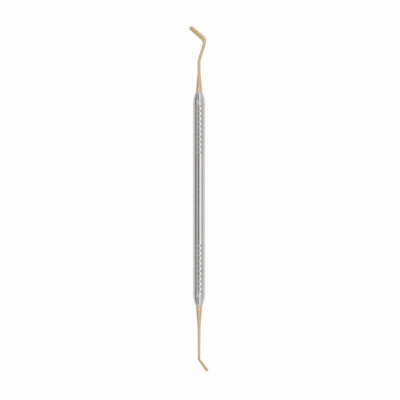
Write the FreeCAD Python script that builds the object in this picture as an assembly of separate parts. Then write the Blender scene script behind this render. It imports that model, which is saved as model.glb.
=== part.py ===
import FreeCAD, Part
import math
import os
from FreeCAD import Vector

# A double-ended hand instrument for placing filling material. An octagonal steel handle, cross-grooved
# for grip near each end, carries two coated working ends: a flat blade on an angled shank, and a small
# flat-faced condenser. Millimetres. It lies on one flat of the handle, with X across it, Y along it
# (the blade is at +Y) and Z up. The origin is the middle of that flat.

# Handle: an octagonal bar with turned noses
across_flats = 6.0
handle_length = 108.0
nose_length = 4.4
nose_end_d = 3.7
nose_bulge = 0.12

# Grip grooves: two right-hand and two left-hand ones cross on the flats
plain_length = 44.4
groove_pitch = 2.585
groove_pitches = 10
groove_floor_d = 5.5
groove_half_angle = 50.0
groove_step = 0.02
groove_clear = 0.25

# Seat of each working end in the handle
tang_d = 2.0
tang_length = 9.0
braze_gap = 0.02
drill_gap = 0.3
collar_d = 3.26
collar_length = 2.05

# Blade end: taper, neck, slanted shank and flattened blade
blade_taper_d = 3.05
blade_taper_length = 7.6
blade_neck_d = 1.56
blade_neck_length = 6.15
shank_slant = 17.4
shank_radius = 4.0
shank_length = 10.86
blade_turn = 66.7
blade_radius = 3.4
blade_root_width = 2.5
blade_tip_width = 2.26
blade_root_thickness = 0.85
blade_tip_thickness = 0.5
blade_length = 10.35

# Condenser end: taper, slender shank and flared nib
nib_taper_d = 3.05
nib_taper_length = 8.0
nib_neck_d = 1.64
nib_shank_length = 17.25
nib_shank_d = 1.12
nib_turn = 36.5
nib_radius = 2.5
nib_length = 7.1
nib_face_d = 1.52
nib_edge = 0.1

AXIS = Vector(0, 1, 0)
UP = Vector(0, 0, 1)
ORIGIN = Vector(0, 0, 0)
GROOVE_STEPS_PER_TURN = 16

# The blade's rounded edges, as shares of its thickness there: how high they are, and how far they bulge
EDGE_HEIGHT = 0.7
EDGE_BULGE = 0.2


def turned(profile):
    """Solid turned about the Y axis from a closed profile of edges at x >= 0."""
    return Part.Face(Part.Wire(profile)).revolve(ORIGIN, AXIS, 360)


def outline(points):
    """Straight edges through (radius, y) points, closed."""
    corners = [Vector(r, y, 0) for r, y in points]
    return Part.makePolygon(corners + corners[:1]).Edges


def octagonal_bar(length):
    """Bar from y = 0, with flats facing +X, -X, +Z and -Z."""
    corner_r = across_flats / 2 / math.cos(math.pi / 8)
    corners = [Vector(corner_r, 0, 0)]
    corners += [Vector(corner_r * math.cos(i * math.pi / 4), 0, corner_r * math.sin(i * math.pi / 4))
                for i in range(1, 8)]
    bar = Part.Face(Part.makePolygon(corners + corners[:1])).extrude(AXIS * length)
    bar.rotate(ORIGIN, AXIS, 22.5)
    return bar


def grip_groove(left_hand, start_angle):
    """Sharp groove cut in steps along a helix about the Y axis. The left-hand ones are a hair shallower."""
    floor_r = groove_floor_d / 2 + (groove_step if left_hand else 0)
    depth = across_flats / 2 / math.cos(math.pi / 8) - floor_r + groove_clear
    spread = AXIS * (depth * math.tan(math.radians(groove_half_angle)))
    steps = round(groove_pitches * GROOVE_STEPS_PER_TURN / 2)
    hand = -1 if left_hand else 1
    sections = []
    for i in range(steps + 1):
        angle = math.radians(start_angle) + hand * 2 * math.pi * i / GROOVE_STEPS_PER_TURN
        outward = Vector(math.cos(angle), 0, -math.sin(angle))
        floor = outward * floor_r + AXIS * (plain_length / 2 + groove_pitches * groove_pitch * i / steps)
        mouth = floor + outward * depth
        sections.append(Part.makePolygon([floor, mouth + spread, mouth - spread, floor]))
    return Part.makeLoft(sections, True, True)


def nose_waste():
    """Ring that turning takes off the end of the bar, to leave a convex nose."""
    end_y = handle_length / 2
    start = Vector(across_flats / 2, end_y - nose_length, 0)
    end = Vector(nose_end_d / 2, end_y, 0)
    chord = end - start
    normal = Vector(chord.y, -chord.x, 0).normalize()
    nose = Part.Arc(start, start + chord * 0.5 + normal * nose_bulge, end)
    slope = nose.tangent(nose.FirstParameter)[0]
    run_out = start - slope * (nose_length / slope.y)
    clear_r = run_out.x + across_flats
    around = Part.makePolygon([end, Vector(nose_end_d / 2, end_y + nose_length, 0),
                               Vector(clear_r, end_y + nose_length, 0), Vector(clear_r, run_out.y, 0),
                               run_out, start])
    return turned([nose.toShape()] + around.Edges)


def socket():
    """Blind hole for a tang in the +Y end of the handle."""
    depth = tang_length + drill_gap
    return Part.makeCylinder(tang_d / 2 + braze_gap, depth, AXIS * (handle_length / 2 - depth), AXIS)


def handle():
    half = octagonal_bar(handle_length / 2)
    for left_hand in (False, True):
        for start_angle in (0, 180):
            half = half.cut(grip_groove(left_hand, start_angle))
    half = half.cut(nose_waste()).cut(socket())
    return half.fuse(half.mirror(ORIGIN, AXIS)).removeSplitter()


def seat_and_taper(taper_d, taper_length, neck_d, neck_length, end_d):
    """Tang, collar, taper and neck, turned in one, seated on the +Y end of the handle."""
    face_y = handle_length / 2
    collar_y = face_y + collar_length
    neck_y = collar_y + taper_length
    return turned(outline([(0, face_y - tang_length), (tang_d / 2, face_y - tang_length),
                           (tang_d / 2, face_y), (collar_d / 2, face_y), (collar_d / 2, collar_y),
                           (taper_d / 2, collar_y), (neck_d / 2, neck_y),
                           (end_d / 2, neck_y + neck_length), (0, neck_y + neck_length)]))


def bent_rod(start, direction, turn, radius, diameter):
    """Round rod bent in the XY plane. Returns it with its far end's centre and direction."""
    side = Vector(math.copysign(1, turn) * direction.y, -math.copysign(1, turn) * direction.x, 0)
    centre = start + side * radius
    face = Part.Face(Part.Wire(Part.makeCircle(diameter / 2, start, direction)))
    rod = face.revolve(centre, UP, -turn)
    far = FreeCAD.Rotation(UP, -turn)
    return rod, centre + far.multVec(start - centre), far.multVec(direction)


def flat_section(centre, direction, width, thickness, flatness):
    """Closed section of four arcs across the blade: a circle at flatness 0, flat with round edges at 1."""
    across = Vector(direction.y, -direction.x, 0)
    round_height = thickness / 2 * math.cos(math.pi / 4)
    round_bulge = width / 2 - width / 2 * math.cos(math.pi / 4)
    height = round_height + (thickness / 2 * EDGE_HEIGHT - round_height) * flatness
    bulge = round_bulge + (thickness * EDGE_BULGE - round_bulge) * flatness
    corners = [centre + across * (sx * (width / 2 - bulge)) + UP * (sz * height)
               for sx, sz in ((1, 1), (-1, 1), (-1, -1), (1, -1))]
    middles = [centre + UP * (thickness / 2), centre - across * (width / 2),
               centre - UP * (thickness / 2), centre + across * (width / 2)]
    return Part.Wire([Part.Arc(corners[i], middles[i], corners[(i + 1) % 4]).toShape()
                      for i in range(4)])


def blade(start, direction):
    """Blade forged flat from the round shank: it widens round the bend, thins and narrows from there on,
    and has a round tip."""
    sections = []
    centre = start + Vector(-direction.y, direction.x, 0) * blade_radius
    for part in (0, 0.25, 0.5, 0.75, 1):
        turn = FreeCAD.Rotation(UP, part * blade_turn)
        blend = part * part * (3 - 2 * part)
        sections.append(flat_section(centre + turn.multVec(start - centre), turn.multVec(direction),
                                     blade_neck_d + (blade_root_width - blade_neck_d) * blend,
                                     blade_neck_d + (blade_root_thickness - blade_neck_d) * blend,
                                     blend))
    root = centre + turn.multVec(start - centre)
    along = turn.multVec(direction)
    straight = blade_length - tangent_length(blade_radius, blade_turn) - blade_tip_width / 2
    for part in (0.5, 1):
        sections.append(flat_section(root + along * (part * straight), along,
                                     blade_root_width + (blade_tip_width - blade_root_width) * part,
                                     blade_root_thickness
                                     + (blade_tip_thickness - blade_root_thickness) * part, 1))
    tip_centre = root + along * straight
    for degrees in (25, 45, 60, 72):
        angle = math.radians(degrees)
        sections.append(flat_section(tip_centre + along * (math.sin(angle) * blade_tip_width / 2), along,
                                     math.cos(angle) * blade_tip_width, blade_tip_thickness, 1))
    return Part.makeLoft(sections, True, False)


def tangent_length(radius, turn):
    """How far before its corner an arc of this radius starts."""
    return radius * math.tan(math.radians(abs(turn)) / 2)


def blade_end():
    lead_in = tangent_length(shank_radius, shank_slant)
    neck = seat_and_taper(blade_taper_d, blade_taper_length, blade_neck_d,
                          blade_neck_length - lead_in, blade_neck_d)
    neck_y = handle_length / 2 + collar_length + blade_taper_length + blade_neck_length
    bend, shank_start, along = bent_rod(AXIS * (neck_y - lead_in), AXIS, shank_slant, shank_radius,
                                        blade_neck_d)
    run = shank_length - lead_in - tangent_length(blade_radius, blade_turn)
    shank = Part.makeCylinder(blade_neck_d / 2, run, shank_start, along)
    return neck.fuse([bend, shank, blade(shank_start + along * run, along)]).removeSplitter()


def nib(start, direction):
    """Flared condenser nib with a flat face, its rim broken."""
    length = nib_length - tangent_length(nib_radius, nib_turn)
    cone = Part.makeCone(nib_shank_d / 2, nib_face_d / 2, length, start, direction)
    rim = [edge for edge in cone.Edges
           if edge.Curve.TypeId == "Part::GeomCircle" and abs(edge.Curve.Radius - nib_face_d / 2) < 1e-6]
    return cone.makeChamfer(nib_edge, rim)


def nib_end():
    """Modelled on the +Y end of the handle, then turned end for end."""
    lead_in = tangent_length(nib_radius, nib_turn)
    neck = seat_and_taper(nib_taper_d, nib_taper_length, nib_neck_d, nib_shank_length - lead_in,
                          nib_shank_d)
    bend_y = handle_length / 2 + collar_length + nib_taper_length + nib_shank_length - lead_in
    bend, nib_start, along = bent_rod(AXIS * bend_y, AXIS, nib_turn, nib_radius, nib_shank_d)
    end = neck.fuse([bend, nib(nib_start, along)]).removeSplitter()
    return end.mirror(ORIGIN, AXIS)


def write(node, shape):
    """Lifts a piece so that the handle's lower flat is at z = 0, and writes it."""
    shape.translate(UP * (across_flats / 2))
    shape.exportStep(os.path.join("parts", node + ".step"))
    print(node, shape.isValid(), len(shape.Solids), round(shape.Volume, 2), shape.BoundBox)


os.makedirs("parts", exist_ok=True)
write("handle", handle())
write("blade_end", blade_end())
write("nib_end", nib_end())
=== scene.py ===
import math

import bmesh
import bpy
from mathutils import Matrix, Vector


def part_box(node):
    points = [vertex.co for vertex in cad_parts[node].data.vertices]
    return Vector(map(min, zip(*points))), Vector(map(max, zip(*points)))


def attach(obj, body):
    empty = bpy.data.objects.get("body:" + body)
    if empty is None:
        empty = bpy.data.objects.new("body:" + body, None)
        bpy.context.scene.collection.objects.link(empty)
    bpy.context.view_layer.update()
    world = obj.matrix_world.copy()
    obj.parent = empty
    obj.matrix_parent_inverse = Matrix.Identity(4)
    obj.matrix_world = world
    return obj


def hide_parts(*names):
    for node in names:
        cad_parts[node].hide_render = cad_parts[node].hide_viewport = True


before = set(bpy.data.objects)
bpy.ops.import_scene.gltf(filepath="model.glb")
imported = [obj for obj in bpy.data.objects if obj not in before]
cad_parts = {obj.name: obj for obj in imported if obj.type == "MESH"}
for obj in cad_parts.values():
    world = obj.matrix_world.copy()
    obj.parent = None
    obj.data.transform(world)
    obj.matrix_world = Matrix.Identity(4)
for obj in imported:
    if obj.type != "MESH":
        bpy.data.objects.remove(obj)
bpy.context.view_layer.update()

bpy.context.scene.view_settings.view_transform = "Standard"


# Steel handle
# An octagonal bar of stainless steel. Its flats are ground a little crowned, both noses are turned, and
# two crossed pairs of round-bottomed grooves are cut into each grip. The bar is polished lengthwise.
handle_low, handle_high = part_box("handle")
bar_end = handle_high.y
flat_height = (handle_high.z - handle_low.z) / 2
axis_height = (handle_high.z + handle_low.z) / 2
flat_crown = 0.00007
strips_per_flat = 10
corner_round = 0.00008
nose_length = 0.0044
nose_end_radius = 0.00185
nose_bulge = 0.00012
nose_steps = 12
lathe_steps = 128
plain_half = 0.0222
groove_pitch = 0.002585
groove_pitches = 10
groove_floor = 0.00278
groove_round = 0.00026
groove_steps_per_turn = 64
land_fade = (0.00013, 0.00007)
nose_fade = 0.0003


def lifted(shape):
    """Moves a shape modelled about the Y axis up to the instrument's own axis."""
    bmesh.ops.translate(shape, verts=shape.verts, vec=(0, 0, axis_height))
    return shape


def placed(name, shape):
    """Makes an object of a finished bmesh, with its normals outwards."""
    bmesh.ops.recalc_face_normals(shape, faces=shape.faces)
    mesh = bpy.data.meshes.new(name)
    shape.to_mesh(mesh)
    shape.free()
    thing = bpy.data.objects.new(name, mesh)
    bpy.context.scene.collection.objects.link(thing)
    return thing


def crowned_bar():
    """The drawn bar: eight crowned flats, their corners rounded, from end to end."""
    shape = bmesh.new()
    count = 8 * strips_per_flat
    ring = bmesh.ops.create_circle(shape, cap_ends=True, segments=count, radius=flat_height)["verts"]
    half_width = flat_height * math.tan(math.pi / 8)
    for vert in ring:
        angle = math.atan2(vert.co.y, vert.co.x)
        flat = round(angle / (math.pi / 4))
        share = (angle - flat * math.pi / 4) / (math.pi / 8)
        across = share * half_width
        height = flat_height - flat_crown * share * share
        turn = flat * math.pi / 4
        vert.co = (height * math.cos(turn) - across * math.sin(turn), -bar_end,
                   height * math.sin(turn) + across * math.cos(turn))
    grown = bmesh.ops.extrude_face_region(shape, geom=list(shape.faces))["geom"]
    top = [item for item in grown if isinstance(item, bmesh.types.BMVert)]
    bmesh.ops.translate(shape, verts=top, vec=(0, 2 * bar_end, 0))
    bmesh.ops.recalc_face_normals(shape, faces=shape.faces)
    corners = [edge for edge in shape.edges
               if abs(edge.verts[0].co.y - edge.verts[1].co.y) > bar_end
               and edge.calc_face_angle() > math.radians(30)]
    bmesh.ops.bevel(shape, geom=corners, offset=corner_round, offset_type="OFFSET", segments=3,
                    profile=0.5, affect="EDGES", material=-1)
    return shape


def turned_blank():
    """What the lathe leaves of the bar: a cylinder wider than the bar, with a convex nose at each end."""
    run = Vector((nose_length, flat_height - nose_end_radius))
    sag_radius = (run.length ** 2 / 4 + nose_bulge ** 2) / (2 * nose_bulge)
    half_angle = math.asin(run.length / 2 / sag_radius)
    slant = math.atan2(run.y, run.x)
    start_angle = slant + half_angle
    profile = [(0, bar_end), (nose_end_radius, bar_end)]
    for i in range(nose_steps + 1):
        angle = start_angle - 2 * half_angle * (i / nose_steps)
        along = sag_radius * (math.sin(start_angle) - math.sin(angle))
        out = sag_radius * (math.cos(angle) - math.cos(start_angle))
        profile.append((nose_end_radius + out, bar_end - along))
    last = profile[-1]
    slope = math.tan(slant - half_angle)
    wide = flat_height * 1.3
    profile.append((wide, last[1] - (wide - last[0]) / slope))
    profile += [(radius, -y) for radius, y in reversed(profile)]
    shape = bmesh.new()
    points = [shape.verts.new((radius, y, 0)) for radius, y in profile]
    edges = [shape.edges.new(pair) for pair in zip(points, points[1:])]
    bmesh.ops.spin(shape, geom=points + edges, cent=(0, 0, 0), axis=(0, 1, 0), angle=2 * math.pi,
                   steps=lathe_steps, use_merge=True)
    bmesh.ops.remove_doubles(shape, verts=shape.verts, dist=1e-7)
    return shape


def groove_cutter(side, hand, start_angle):
    """The path of a round-nosed tool along a helix, in the grip on that side of the middle."""
    shape = bmesh.new()
    ring = bmesh.ops.create_circle(shape, segments=16, radius=groove_round,
                                   matrix=Matrix.Rotation(0, 4, "X"))["verts"]
    bmesh.ops.translate(shape, verts=ring, vec=(groove_floor + groove_round, 0, 0))
    turns = groove_pitches / 2
    steps = round(turns * groove_steps_per_turn)
    length = groove_pitches * groove_pitch
    bmesh.ops.spin(shape, geom=list(shape.verts) + list(shape.edges), cent=(0, 0, 0), axis=(0, 1, 0),
                   dvec=(0, side * length / steps, 0), angle=hand * 2 * math.pi * turns, steps=steps)
    rims = [edge for edge in shape.edges if edge.is_boundary]
    bmesh.ops.holes_fill(shape, edges=rims)
    bmesh.ops.rotate(shape, verts=shape.verts, cent=(0, 0, 0),
                     matrix=Matrix.Rotation(start_angle, 3, "Y"))
    bmesh.ops.translate(shape, verts=shape.verts, vec=(0, side * plain_half, 0))
    return shape


def carve(thing, tool, operation):
    """Cuts a thing with a tool, keeps the result as its mesh, and puts the tool away."""
    cut = thing.modifiers.new("cut", "BOOLEAN")
    cut.operation = operation
    cut.solver = "MANIFOLD"
    cut.object = tool
    bpy.context.view_layer.update()
    depsgraph = bpy.context.evaluated_depsgraph_get()
    made = bpy.data.meshes.new_from_object(thing.evaluated_get(depsgraph))
    made.materials.clear()
    thing.modifiers.clear()
    thing.data = made
    bpy.data.objects.remove(tool)


def shade(thing, degrees):
    """Smooth shading that breaks at edges sharper than the angle."""
    thing.data.shade_smooth()
    thing.data.set_sharp_from_angle(angle=math.radians(degrees))


handle = placed("octagonal_handle", lifted(crowned_bar()))
carve(handle, placed("blank", lifted(turned_blank())), "INTERSECT")
for side in (-1, 1):
    for hand in (-1, 1):
        for start_angle in (0, math.pi):
            carve(handle, placed("tool", lifted(groove_cutter(side, hand, start_angle))), "DIFFERENCE")
shade(handle, 28)


class Value:
    """A shader socket on which Python operators add Math nodes."""

    def __init__(self, nodes, socket):
        self.nodes = nodes
        self.socket = socket

    def math(self, operation, *values):
        return self.nodes.node("ShaderNodeMath", {"operation": operation}, values)

    def __add__(self, other):
        return self.math("ADD", self, other)

    __radd__ = __add__

    def __sub__(self, other):
        return self.math("SUBTRACT", self, other)

    def __rsub__(self, other):
        return self.math("SUBTRACT", other, self)

    def __mul__(self, other):
        return self.math("MULTIPLY", self, other)

    __rmul__ = __mul__

    def __abs__(self):
        return self.math("ABSOLUTE", self)

    def larger(self, other):
        return self.math("MAXIMUM", self, other)

    def between(self, low, high):
        """Rises smoothly from 0 at low to 1 at high. Where low is the larger, it falls instead."""
        return self.nodes.node("ShaderNodeMapRange", {"interpolation_type": "SMOOTHSTEP"},
                                {"Value": self, "From Min": low, "From Max": high})


class Nodes:
    """A node tree, to which node() adds."""

    def __init__(self, tree):
        self.tree = tree

    def node(self, kind, settings=None, values=(), output=0):
        """Adds a node: settings come first, then each input's number, colour or link."""
        made = self.tree.nodes.new(kind)
        for key, setting in (settings or {}).items():
            setattr(made, key, setting)
        pairs = values.items() if isinstance(values, dict) else enumerate(values)
        for key, value in pairs:
            self.feed(made.inputs[key], value)
        return Value(self, made.outputs[output])

    def feed(self, socket, value):
        if isinstance(value, Value):
            self.tree.links.new(value.socket, socket)
        else:
            socket.default_value = value


class Finish(Nodes):
    """A surface finish: one material and the nodes behind its shader."""

    def __init__(self, name):
        self.material = bpy.data.materials.new(name)
        self.material.use_nodes = True
        super().__init__(self.material.node_tree)
        self.shader = self.tree.nodes["Principled BSDF"]

    def set(self, **inputs):
        for name, value in inputs.items():
            self.feed(self.shader.inputs[name.replace("_", " ")], value)

    def place(self, scale):
        """Object coordinates times a scale on each axis, for textures."""
        where = self.node("ShaderNodeTexCoord", output=3)
        return self.node("ShaderNodeVectorMath", {"operation": "MULTIPLY"}, (where, scale))

    def noise(self, scale, detail):
        """Noise from 0 to 1, with its grain stretched by a scale on each axis, in cells per metre."""
        return self.node("ShaderNodeTexNoise", {"noise_dimensions": "3D"},
                         {"Vector": self.place(scale), "Scale": 1.0, "Detail": detail})

    def mix(self, share, first, second):
        """Mixes two colours."""
        return self.node("ShaderNodeMix", {"data_type": "RGBA"}, {0: share, 6: first, 7: second}, 2)

    def bump(self, height, depth, strength):
        return self.node("ShaderNodeBump", None,
                         {"Height": height, "Distance": depth, "Strength": strength})


def handle_steel():
    """Satin steel: fine drawn lines along the bar, turned rings on the noses, duller in the grooves."""
    steel = Finish("drawn_steel")
    x, y, z = (steel.node("ShaderNodeSeparateXYZ", None, [steel.place((1, 1, 1))], i) for i in range(3))
    side = abs(x)
    rise = abs(z - axis_height)
    level = side.larger(rise).larger((side + rise) * math.sqrt(0.5))
    low, high = (flat_height - depth for depth in land_fade)
    land = level.between(low, high)
    nose_start = bar_end - nose_length
    nose = abs(y).between(nose_start - nose_fade, nose_start)
    lines = steel.noise((9000, 120, 9000), 4)
    rings = steel.noise((60, 14000, 60), 3)
    cloud = steel.noise((600, 150, 600), 2)
    grain = lines * (1 - nose) + rings * nose
    pale = steel.mix(cloud, (0.60, 0.585, 0.578, 1), (0.65, 0.635, 0.63, 1))
    worked = steel.mix(grain * 0.15, pale, (0.5, 0.49, 0.485, 1))
    groove_grey = (0.63, 0.62, 0.612, 1)
    surface = steel.mix(land.larger(nose), groove_grey, worked)
    steel.set(Base_Color=surface, Metallic=1.0,
              Roughness=0.08 + 0.05 * grain + 0.08 * (1 - land.larger(nose)),
              Normal=steel.bump(grain, 0.000001, 0.3))
    return steel.material


handle.data.materials.append(handle_steel())
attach(handle, "root")
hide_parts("handle")


# Blade end
# A stainless steel rod turned with a tang, a collar and a taper, then bent and forged flat into a blade
# with a round tip. It is coated pale gold and brazed into the handle.
tang_radius = 0.0010
tang_length = 0.009
collar_radius = 0.00163
collar_length = 0.00205
collar_round = 0.00012
rim_steps = 4
taper_radius = 0.001525
blade_taper_length = 0.0076
blade_neck_radius = 0.00078
blade_neck_length = 0.00615
shank_slant = math.radians(17.4)
shank_bend = 0.0040
shank_length = 0.01086
blade_turn = math.radians(66.7)
blade_bend = 0.0034
blade_root_half_width = 0.00125
blade_tip_half_width = 0.00113
blade_root_half = 0.000425
blade_tip_half = 0.00025
blade_length = 0.01035
blade_squareness = 2.9
tip_rings = 14
tip_thinning = 0.55
ring_points = 40


class Rod:
    """A rod grown ring by ring in the XY plane: it goes straight, tapers or bends, and ends in caps."""

    def __init__(self, start_y, radius):
        self.shape = bmesh.new()
        self.ring = bmesh.ops.create_circle(self.shape, segments=ring_points, radius=radius)["verts"]
        self.angles = [math.atan2(vert.co.y, vert.co.x) for vert in self.ring]
        self.centre = Vector((0, start_y, 0))
        self.heading = 0.0
        self.form = (radius, radius, 2.0)
        self.set_ring()

    def set_ring(self):
        half_width, half_thickness, squareness = self.form
        across = Vector((math.cos(self.heading), -math.sin(self.heading), 0))
        for vert, angle in zip(self.ring, self.angles):
            c, s = math.cos(angle), math.sin(angle)
            side = math.copysign(abs(c) ** (2 / squareness), c) * half_width
            rise = math.copysign(abs(s) ** (2 / squareness), s) * half_thickness
            vert.co = self.centre + across * side + Vector((0, 0, rise))

    def grow(self, half_width, half_thickness=None, squareness=2.0):
        """A new ring at the rod's present centre and heading."""
        edges = {edge for vert in self.ring for edge in vert.link_edges
                 if edge.verts[0] in self.ring and edge.verts[1] in self.ring}
        grown = bmesh.ops.extrude_edge_only(self.shape, edges=list(edges))["geom"]
        fresh = {vert for vert in grown if isinstance(vert, bmesh.types.BMVert)}
        following = []
        for vert in self.ring:
            following += [edge.other_vert(vert) for edge in vert.link_edges
                          if edge.other_vert(vert) in fresh]
        self.ring = following
        self.form = (half_width, half_thickness or half_width, squareness)
        self.set_ring()

    def ahead(self, distance):
        self.centre = self.centre + Vector((math.sin(self.heading), math.cos(self.heading), 0)) * distance

    def straight(self, distance, half_width, half_thickness=None, squareness=2.0, rings=1):
        """Goes straight on, tapering evenly to the given size."""
        first = Vector(self.form)
        last = Vector((half_width, half_thickness or half_width, squareness))
        for i in range(rings):
            self.ahead(distance / rings)
            self.grow(*first.lerp(last, (i + 1) / rings))

    def bend(self, turn, radius, last=None, rings=10):
        """Bends by an angle, to the right if positive, while it changes smoothly to the last form."""
        first = Vector(self.form)
        last = Vector(last or self.form)
        chord = 2 * radius * math.sin(abs(turn) / rings / 2)
        for i in range(rings):
            self.heading += turn / rings / 2
            self.ahead(chord)
            self.heading += turn / rings / 2
            part = (i + 1) / rings
            self.grow(*first.lerp(last, part * part * (3 - 2 * part)))

    def finish(self, name):
        rims = [edge for edge in self.shape.edges if edge.is_boundary]
        bmesh.ops.holes_fill(self.shape, edges=rims)
        return placed(name, lifted(self.shape))


def seated_rod(taper_length, neck_radius):
    """Tang, collar and taper, which both ends have in common, in the +Y end of the handle."""
    rod = Rod(bar_end - tang_length, tang_radius)
    rod.straight(tang_length, tang_radius)
    rod.grow(collar_radius - collar_round)
    for i in range(rim_steps):
        angle = math.pi / 2 * (i + 1) / rim_steps
        rod.centre = Vector((0, bar_end + collar_round * (1 - math.cos(angle)), 0))
        rod.grow(collar_radius - collar_round * (1 - math.sin(angle)))
    rod.straight(collar_length - 2 * collar_round, collar_radius)
    for i in range(rim_steps):
        angle = math.pi / 2 * (i + 1) / rim_steps
        rod.centre = Vector((0, bar_end + collar_length - collar_round * (1 - math.sin(angle)), 0))
        rod.grow(collar_radius - collar_round * (1 - math.cos(angle)))
    rod.straight(taper_length, neck_radius, rings=12)
    return rod


def lead_in(radius, turn):
    """How far before its corner an arc starts."""
    return radius * math.tan(turn / 2)


def blade_end():
    """Neck, slanted shank, the bend in which the rod is forged flat, and the blade with its round tip."""
    rod = seated_rod(blade_taper_length, blade_neck_radius)
    rod.straight(blade_neck_length - lead_in(shank_bend, shank_slant), blade_neck_radius, rings=4)
    rod.bend(shank_slant, shank_bend, rings=6)
    rod.straight(shank_length - lead_in(shank_bend, shank_slant) - lead_in(blade_bend, blade_turn),
                 blade_neck_radius, rings=6)
    rod.bend(-blade_turn, blade_bend, (blade_root_half_width, blade_root_half, blade_squareness), rings=20)
    straight = blade_length - lead_in(blade_bend, blade_turn) - blade_tip_half_width
    rod.straight(straight, blade_tip_half_width, blade_tip_half, blade_squareness, rings=8)
    tip = rod.centre.copy()
    for i in range(tip_rings):
        angle = math.pi / 2 * (i + 1) / (tip_rings + 0.3)
        rod.centre = tip
        rod.ahead(math.sin(angle) * blade_tip_half_width)
        rod.grow(math.cos(angle) * blade_tip_half_width,
                 blade_tip_half * (1 - tip_thinning * math.sin(angle) ** 6), blade_squareness)
    return rod.finish("gold_blade")


coat_edge = 0.00005
pale_start = 0.0085
pale_start_fade = 0.005
pale_end = 0.0235
pale_end_fade = 0.003
working_length = 0.0095
working_fade = 0.002


def gold_coating(name, tint, tip, wear_length):
    """Pale gold coating over polished steel, with fine lengthwise marks. It is paler on the collar and
    the neck, darker on the working part, and greyer at its tip, where it wears."""
    gold = Finish(name)
    marks = gold.noise((9000, 500, 9000), 4)
    warmth = gold.noise((220, 160, 220), 2)
    y = gold.node("ShaderNodeSeparateXYZ", None, [gold.place((1, 1, 1))], 1)
    out = abs(y) - bar_end
    collar = out.between(collar_length + coat_edge, collar_length - coat_edge)
    neck = (out.between(pale_start, pale_start + pale_start_fade)
            * out.between(pale_end + pale_end_fade, pale_end))
    reach = gold.node("ShaderNodeVectorMath", {"operation": "DISTANCE"}, (gold.place((1, 1, 1)), tip), 1)
    wear = reach.between(wear_length, 0) * (0.6 + 0.4 * marks)
    working = reach.between(working_length, working_length - working_fade)
    coat = gold.mix(warmth * 0.3, tint, (0.74, 0.58, 0.36, 1))
    coat = gold.mix(neck * 0.7, coat, (0.72, 0.62, 0.42, 1))
    coat = gold.mix(collar * 0.7, coat, (0.76, 0.64, 0.47, 1))
    coat = gold.mix(working * 0.7, coat, (0.60, 0.47, 0.27, 1))
    coat = gold.mix(wear * 0.9, coat, (0.48, 0.44, 0.36, 1))
    gold.set(Base_Color=gold.mix(marks * 0.12, coat, (0.5, 0.37, 0.22, 1)), Metallic=1.0,
             Roughness=0.2 + 0.08 * marks + 0.08 * wear, Normal=gold.bump(marks, 0.000001, 0.3))
    return gold.material


blade_tip = Vector((-0.0046, bar_end + 0.0332, axis_height))
blade_tint = (0.77, 0.53, 0.32, 1)
blade_wear = 0.003
blade_piece = blade_end()
shade(blade_piece, 35)
blade_gold = gold_coating("gold_coating_blade", blade_tint, blade_tip, blade_wear)
blade_piece.data.materials.append(blade_gold)
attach(blade_piece, "root")
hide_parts("blade_end")


# Condenser end
# The same rod and seat at the other end of the handle, drawn out thin, bent once, and flared to a small
# flat face with a broken rim. It has the same coating.
nib_taper_length = 0.008
nib_neck_radius = 0.00082
nib_shank_length = 0.01725
nib_shank_radius = 0.0006
nib_turn = math.radians(36.5)
nib_bend = 0.0025
nib_length = 0.0071
nib_face_radius = 0.00076
nib_rim = 0.0001


def condenser_end():
    """The rod's straight, bent and flared parts, turned end for end at the last."""
    rod = seated_rod(nib_taper_length, nib_neck_radius)
    rod.straight(nib_shank_length - lead_in(nib_bend, nib_turn), nib_shank_radius, rings=12)
    rod.bend(nib_turn, nib_bend, rings=8)
    rod.straight(nib_length - lead_in(nib_bend, nib_turn) - nib_rim, nib_face_radius, rings=6)
    face = rod.centre.copy()
    for i in range(rim_steps):
        angle = math.pi / 2 * (i + 1) / rim_steps
        rod.centre = face
        rod.ahead(math.sin(angle) * nib_rim)
        rod.grow(nib_face_radius - nib_rim * (1 - math.cos(angle)))
    bmesh.ops.scale(rod.shape, verts=rod.shape.verts, vec=(1, -1, 1))
    return rod.finish("gold_condenser")


nib_face = Vector((0.0042, -bar_end - 0.0331, axis_height))
nib_tint = (0.72, 0.54, 0.32, 1)
nib_wear = 0.0015
condenser_piece = condenser_end()
shade(condenser_piece, 35)
condenser_gold = gold_coating("gold_coating_condenser", nib_tint, nib_face, nib_wear)
condenser_piece.data.materials.append(condenser_gold)
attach(condenser_piece, "root")
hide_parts("nib_end")


# Table, light and camera
# A white table under a pale sky, as in a light tent. A dark and a bright strip run overhead, the sky is
# darker low on the left, and towards the ends of the instrument its two sides differ. The camera looks
# straight down.
table_size = 4.0
table_whiteness = 0.92


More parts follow.
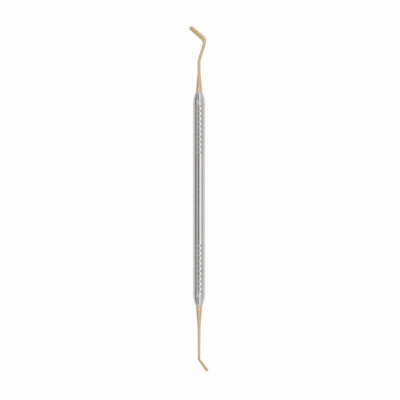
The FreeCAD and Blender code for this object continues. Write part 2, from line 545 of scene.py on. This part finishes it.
def white_table():
    """White paper that looks white itself, and keeps a little of the instrument's shadow."""
    shape = bmesh.new()
    bmesh.ops.create_grid(shape, x_segments=1, y_segments=1, size=table_size / 2)
    table = placed("table", shape)
    paper = Finish("white_table")
    paper.set(Base_Color=(0.93, 0.93, 0.93, 1), Roughness=0.7)
    path = paper.node("ShaderNodeLightPath")
    camera_ray, glossy_ray, transmission_ray = (
        Value(paper, path.socket.node.outputs[name])
        for name in ("Is Camera Ray", "Is Glossy Ray", "Is Transmission Ray"))
    seen = camera_ray.larger(glossy_ray).larger(transmission_ray)
    glow = paper.node("ShaderNodeEmission", None, {"Color": (1, 1, 1, 1), "Strength": 1.0})
    blend = paper.node("ShaderNodeMixShader", None,
                       {0: seen * table_whiteness, 1: Value(paper, paper.shader.outputs[0]), 2: glow})
    paper.tree.links.new(blend.socket, paper.tree.nodes["Material Output"].inputs["Surface"])
    table.data.materials.append(paper.material)


def tent_light():
    """World light by direction: x runs across the instrument and y along it. A level of 1 is white."""
    world = bpy.data.worlds.new("tent")
    bpy.context.scene.world = world
    world.use_nodes = True
    sky = Nodes(world.node_tree)
    direction = sky.node("ShaderNodeTexCoord", output=0)
    x, y = (sky.node("ShaderNodeSeparateXYZ", None, [direction], i) for i in range(2))
    dark_strip = abs(x + 0.028).between(0.07, 0.045) * abs(y).between(0.098, 0.08)
    bright_strip = abs(x - 0.155).between(0.12, 0.08) * abs(y).between(0.75, 0.6)
    left_glow = x.between(-0.2, -0.4)
    left_shade = x.between(-0.55, -1.0)
    right_shade = x.between(0.5, 1.0)
    ends = abs(y).between(0.25, 0.4)
    end_shade = ends * x.between(0.04, -0.08) * (0.5 + 0.5 * x.between(-0.75, -0.55))
    end_glow = ends * abs(x - 0.45).between(0.35, 0.2)
    far_glow = abs(y).between(0.6, 0.75) * x.between(0.0, -0.1)
    level = (0.78 + 0.58 * bright_strip - 0.62 * dark_strip + 0.25 * left_glow - 0.71 * left_shade
             - 0.1 * right_shade - 0.42 * end_shade + 0.22 * end_glow + 0.9 * far_glow)
    background = sky.tree.nodes["Background"]
    sky.feed(background.inputs["Color"], sky.node("ShaderNodeCombineColor", None, (level,) * 3))
    background.inputs["Strength"].default_value = 1.0


def camera():
    """Straight down over the instrument, with a long lens that just takes in its length."""
    data = bpy.data.cameras.new("camera")
    data.lens = 120
    data.sensor_width = 36
    view_width = 0.2023
    seen_x, seen_y = 0.00049, -0.00061
    eye = bpy.data.objects.new("camera", data)
    bpy.context.scene.collection.objects.link(eye)
    eye.location = (seen_x, seen_y, axis_height + view_width * data.lens / data.sensor_width)
    bpy.context.scene.camera = eye


white_table()
tent_light()
camera()
